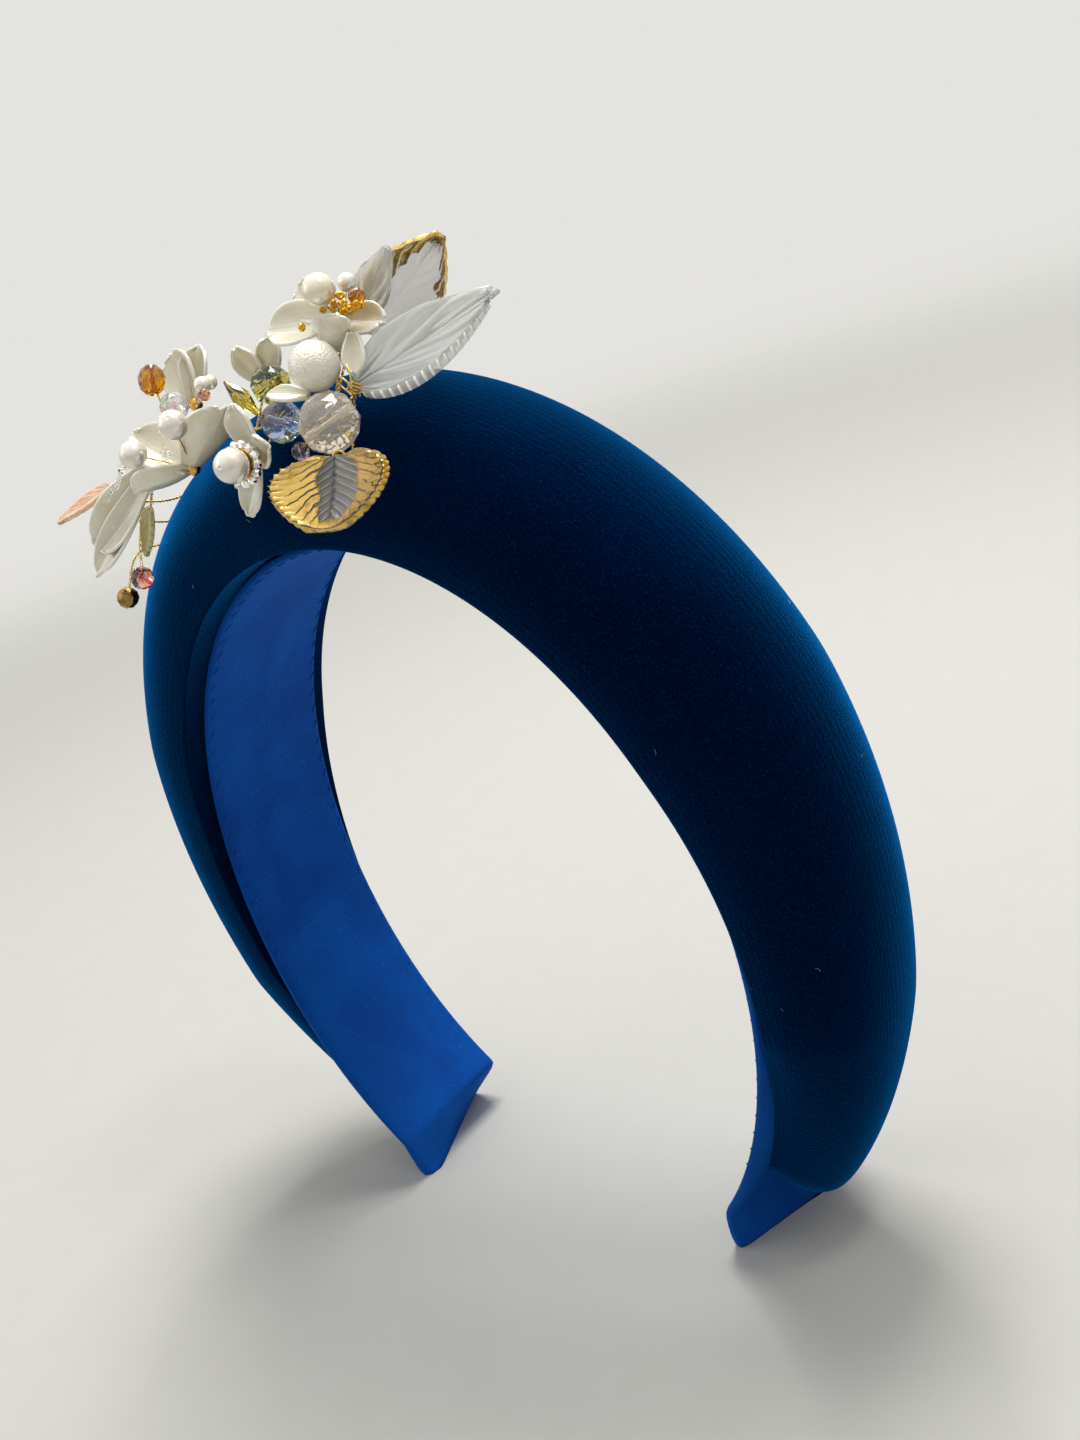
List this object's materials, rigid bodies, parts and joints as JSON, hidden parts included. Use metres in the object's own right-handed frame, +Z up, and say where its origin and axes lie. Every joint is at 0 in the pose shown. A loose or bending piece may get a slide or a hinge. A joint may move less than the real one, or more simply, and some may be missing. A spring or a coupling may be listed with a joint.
{
  "type": "padded velvet headband with a wired flower spray",
  "caption": "Padded velvet halo headband with a blue lining and a gold-wired spray of pearly flowers, leaves, pearls and crystals, worn over the crown of the head.",
  "frame": {"origin": "middle of the bounding box on the plane that the two tips rest on", "axes": "+Z up toward the crown of the arch, -Y toward the wearer's front, +X toward the wearer's left"},
  "size_m": [0.1722, 0.059, 0.1911],
  "materials": {
    "velvet": "short pile velvet, navy",
    "lining": "royal blue cloth",
    "wire": "bright gold wire",
    "gilt_leaf": "clear pressed glass with gold painted rim",
    "clear_leaf": "milky clear with a pearly sheen",
    "tinted_leaf": "tinted clear with a gold wash",
    "petal": "mother-of-pearl gloss",
    "pearl": "pearl lustre",
    "crystal": "cut and polished",
    "olive": "cut and polished, olive",
    "amber": "cut and polished, amber",
    "tinted_bead": "pearly tinted bead",
    "stone_ring": "ring set with small clear stones"
  },
  "bodies": {
    "root": {"velvet_pad": "velvet", "lining": "lining", "wire_vine": "wire", "gold_leaf_front": "gilt_leaf", "gold_leaf_back": "gilt_leaf", "clear_leaf_small": "clear_leaf", "pearl_leaf_large": "clear_leaf", "oval_petal": "petal", "white_petal": "petal", "pink_leaf": "tinted_leaf", "olive_leaf": "tinted_leaf", "flower_upper": "petal", "flower_small": "petal", "flower_large": "petal", "flower_back": "petal", "flower_side": "petal", "petal_pair": "petal", "cotton_pearl": "pearl", "upper_pearl": "pearl", "upper_bead": "pearl", "upper_amber_bead": "amber", "small_flower_pearl": "pearl", "large_flower_pearl": "pearl", "large_flower_crystal": "crystal", "side_flower_pearl": "pearl", "purple_bead": "tinted_bead", "pink_bead": "tinted_bead", "bronze_bead": "tinted_bead", "clear_crystal": "crystal", "blue_crystal": "crystal", "olive_crystal": "olive", "olive_drop": "olive", "amber_bead": "amber", "rondelle": "stone_ring", "bead_sprig": "pearl"}
  },
  "joints": []
}
